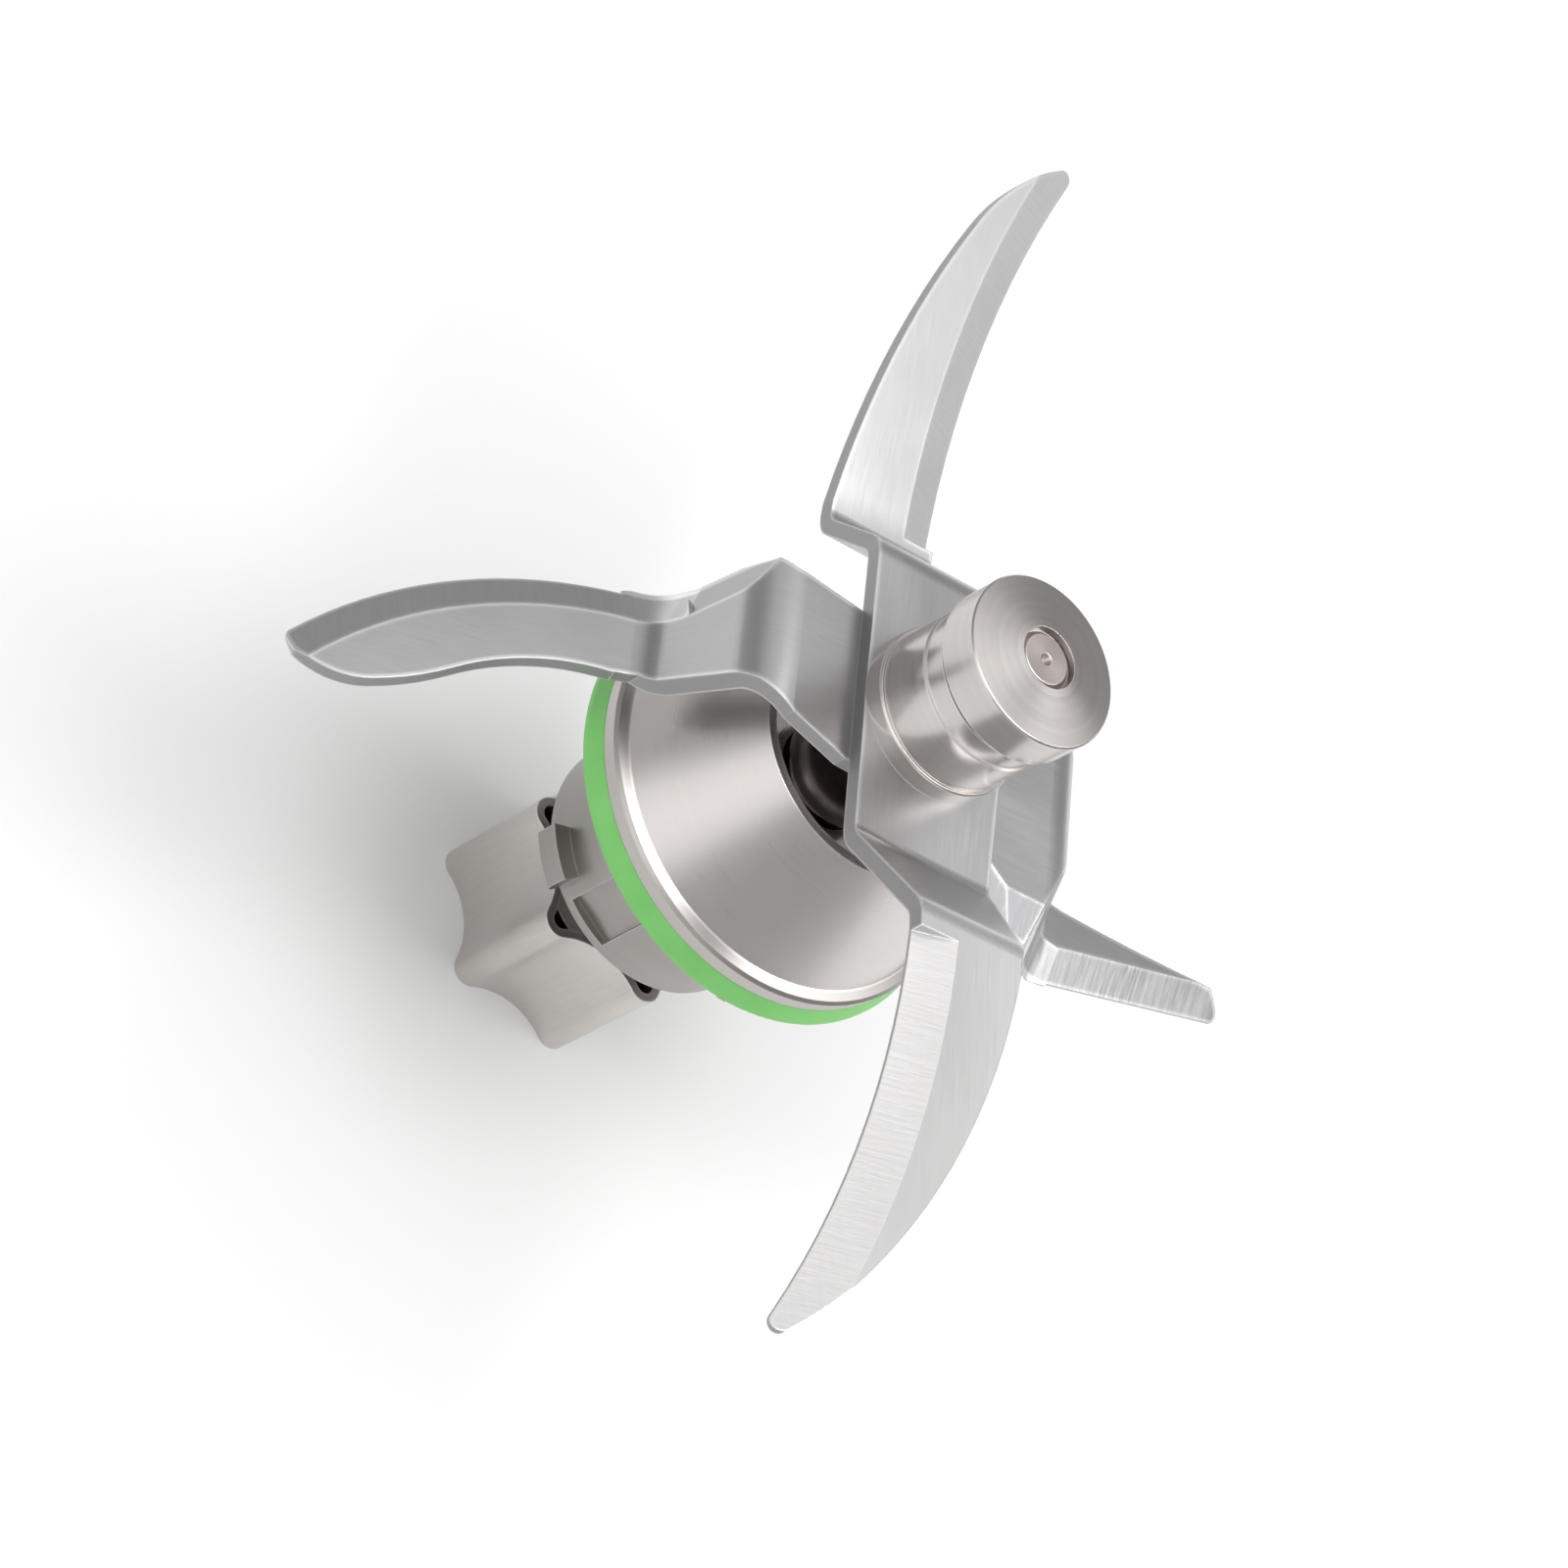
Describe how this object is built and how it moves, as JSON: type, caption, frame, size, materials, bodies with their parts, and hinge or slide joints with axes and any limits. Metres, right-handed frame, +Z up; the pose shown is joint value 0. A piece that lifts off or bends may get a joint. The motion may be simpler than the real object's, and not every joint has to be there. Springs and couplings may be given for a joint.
{
  "type": "blender blade assembly",
  "caption": "Jug blender knife unit: two crossed bent and ground blades on a spinning shaft, held in a flanged cone with a seal ring, bayonet collar and star drive.",
  "frame": {"origin": "on the shaft axis, in the plane of the drive coupling's lower end", "axes": "+Z up the shaft towards the knife hub, +Y along the arm of the upper blade strip that steps down, +X along one arm of the lower strip"},
  "size_m": [0.0988, 0.1273, 0.0684],
  "materials": {
    "blade_steel": "rolled sheet, ground along its edges",
    "turned_steel": "turned and satin polished",
    "collar_steel": "satin",
    "coupling_steel": "drawn tube, satin",
    "shaft_steel": "ground",
    "seal_green": "soft, matt",
    "seal_dark": "matt",
    "bearing_steel": "polished",
    "cage_brass": "machined",
    "spacer_aluminium": "turned",
    "spring_steel": "dark spring steel",
    "nut_steel": "plain"
  },
  "bodies": {
    "housing": {"cone_housing": "turned_steel", "seal_ring": "seal_green", "bayonet_collar": "collar_steel", "shaft_seal": "seal_dark", "garter_spring": "spring_steel", "upper_bearing_outer": "bearing_steel", "lower_bearing_outer": "bearing_steel", "upper_bearing_shield": "bearing_steel", "lower_bearing_shield": "bearing_steel", "outer_spacer": "spacer_aluminium", "bearing_circlip": "spring_steel"},
    "rotor": {"drive_shaft": "shaft_steel", "knife_hub": "turned_steel", "upper_blade": "blade_steel", "lower_blade": "blade_steel", "blade_collar": "turned_steel", "upper_bearing_inner": "bearing_steel", "lower_bearing_inner": "bearing_steel", "inner_spacer": "spacer_aluminium", "coupling_hub": "coupling_steel", "drive_coupling": "coupling_steel", "lock_washer": "nut_steel", "lock_nut": "nut_steel"},
    "upper_ball_set": {"upper_bearing_balls": "bearing_steel", "upper_bearing_cage": "cage_brass"},
    "lower_ball_set": {"lower_bearing_balls": "bearing_steel", "lower_bearing_cage": "cage_brass"}
  },
  "joints": [
    {"name": "blade_spin", "type": "hinge", "parent": "housing", "child": "rotor", "pos_m": [0, 0, 0.033], "axis": [0, 0, 1], "continuous": true},
    {"name": "upper_cage_spin", "type": "hinge", "parent": "housing", "child": "upper_ball_set", "pos_m": [0, 0, 0.0333], "axis": [0, 0, 1], "continuous": true},
    {"name": "lower_cage_spin", "type": "hinge", "parent": "housing", "child": "lower_ball_set", "pos_m": [0, 0, 0.0217], "axis": [0, 0, 1], "continuous": true}
  ],
  "couplings": [
    {"joint": "upper_cage_spin", "follows": "blade_spin", "ratio": 0.3571},
    {"joint": "lower_cage_spin", "follows": "blade_spin", "ratio": 0.3571}
  ]
}
